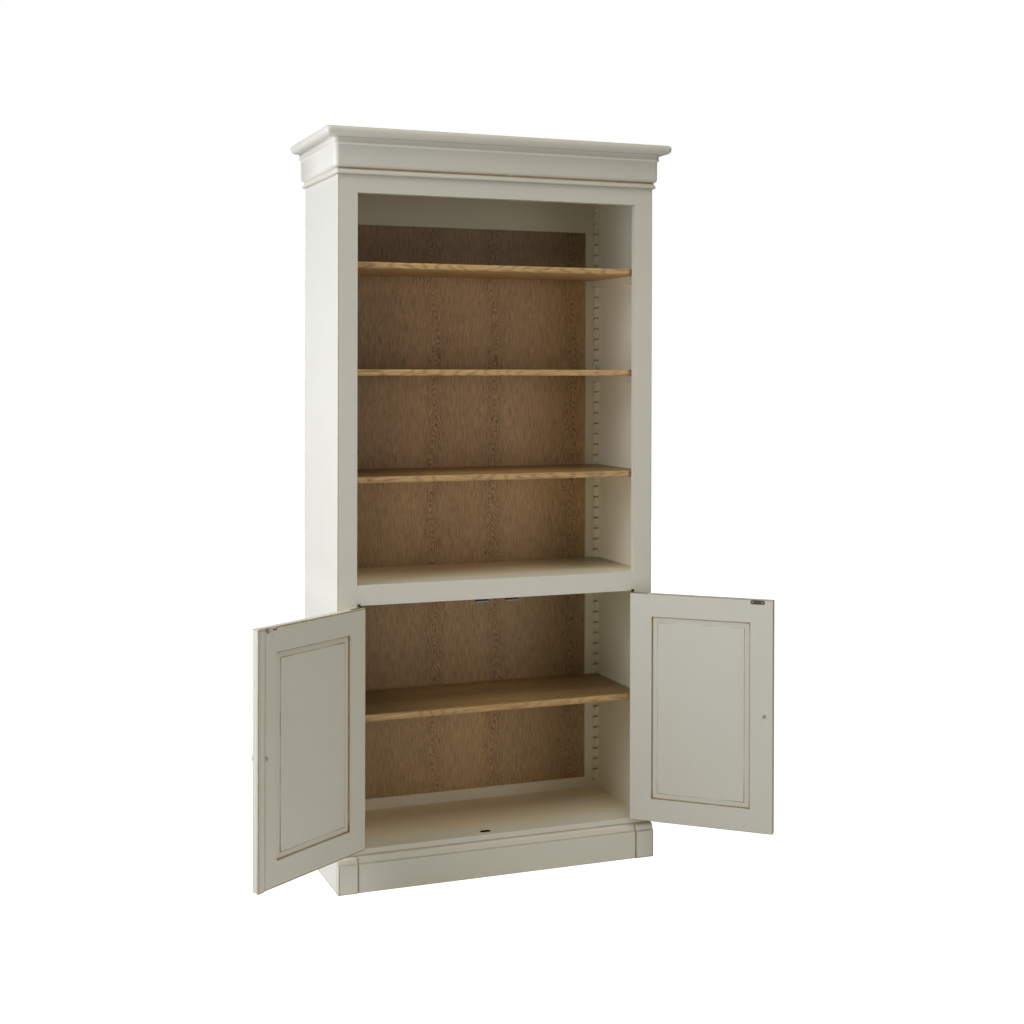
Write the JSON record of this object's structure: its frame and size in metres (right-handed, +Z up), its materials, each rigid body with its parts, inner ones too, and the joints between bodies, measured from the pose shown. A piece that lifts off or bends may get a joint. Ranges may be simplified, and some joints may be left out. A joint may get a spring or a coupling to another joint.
{
  "type": "bookcase with cabinet doors",
  "caption": "Tall painted wooden bookcase with open oak shelves on notched side racks above a cupboard with two hinged panelled doors, a moulded cornice and a plinth.",
  "frame": {"origin": "on the floor, in the middle of the width, in the front plane of the face frame, where the underside of the plinth board meets it", "axes": "+Z up; +X to the right and -Y out of the front, seen by someone who stands before the open shelves; +Y to the back"},
  "size_m": [1.5623, 0.6921, 2.191],
  "materials": {
    "painted_wood": "off-white satin paint over wood, with brown antique glaze left in grooves and rubbed edges",
    "shelf_oak": "stained oak, satin varnish",
    "back_oak": "stained oak veneer with an upright figure, satin",
    "aged_brass": "aged brass with dark patina",
    "screw_steel": "zinc-plated steel",
    "dark_steel": "dark steel with worn plating",
    "catch_plastic": "dark grey moulded plastic with a steel magnet bar",
    "black_plastic": "black moulded plastic"
  },
  "bodies": {
    "carcass": {"side_panel_left": "painted_wood", "side_panel_right": "painted_wood", "front_stile_left": "painted_wood", "front_stile_right": "painted_wood", "top_rail": "painted_wood", "mid_rail": "painted_wood", "bottom_rail": "painted_wood", "back_stile_left": "painted_wood", "back_stile_right": "painted_wood", "back_top_rail": "painted_wood", "back_bottom_rail": "painted_wood", "oak_back_panel": "back_oak", "ceiling_panel": "painted_wood", "divider_board": "painted_wood", "cupboard_floor": "painted_wood", "cornice_board": "painted_wood", "frieze_front": "painted_wood", "frieze_left": "painted_wood", "frieze_right": "painted_wood", "neck_bead_front": "painted_wood", "neck_bead_left": "painted_wood", "neck_bead_right": "painted_wood", "plinth_board": "painted_wood", "plinth_block_left": "painted_wood", "plinth_block_right": "painted_wood", "upper_racks_left": "painted_wood", "upper_racks_right": "painted_wood", "lower_racks_left": "painted_wood", "lower_racks_right": "painted_wood", "shelf_cleats_1": "painted_wood", "shelf_cleats_2": "painted_wood", "shelf_cleats_3": "painted_wood", "shelf_cleats_4": "painted_wood", "shelf_1": "shelf_oak", "shelf_2": "shelf_oak", "shelf_3": "shelf_oak", "shelf_4": "shelf_oak", "hinge_frame_leaves_left": "aged_brass", "hinge_frame_leaves_right": "aged_brass", "magnetic_catches": "catch_plastic", "floor_keeper": "black_plastic"},
    "left_door": {"left_door_hinge_stile": "painted_wood", "left_door_leading_stile": "painted_wood", "left_door_top_rail": "painted_wood", "left_door_bottom_rail": "painted_wood", "left_door_panel": "painted_wood", "left_door_knob": "painted_wood", "left_door_knob_bolt": "screw_steel", "left_door_strike_plate": "dark_steel", "left_door_hinge_leaves": "aged_brass", "left_door_closing_batten": "painted_wood"},
    "right_door": {"right_door_hinge_stile": "painted_wood", "right_door_leading_stile": "painted_wood", "right_door_top_rail": "painted_wood", "right_door_bottom_rail": "painted_wood", "right_door_panel": "painted_wood", "right_door_knob": "painted_wood", "right_door_knob_bolt": "screw_steel", "right_door_strike_plate": "dark_steel", "right_door_hinge_leaves": "aged_brass"}
  },
  "joints": [
    {"name": "left_door_hinge", "type": "hinge", "parent": "carcass", "child": "left_door", "pos_m": [-0.4365, 0, 0], "axis": [0, 0, 1], "range_deg": [-19.5, 145.5]},
    {"name": "right_door_hinge", "type": "hinge", "parent": "carcass", "child": "right_door", "pos_m": [0.4365, 0, 0], "axis": [0, 0, -1], "range_deg": [-26, 139]}
  ]
}
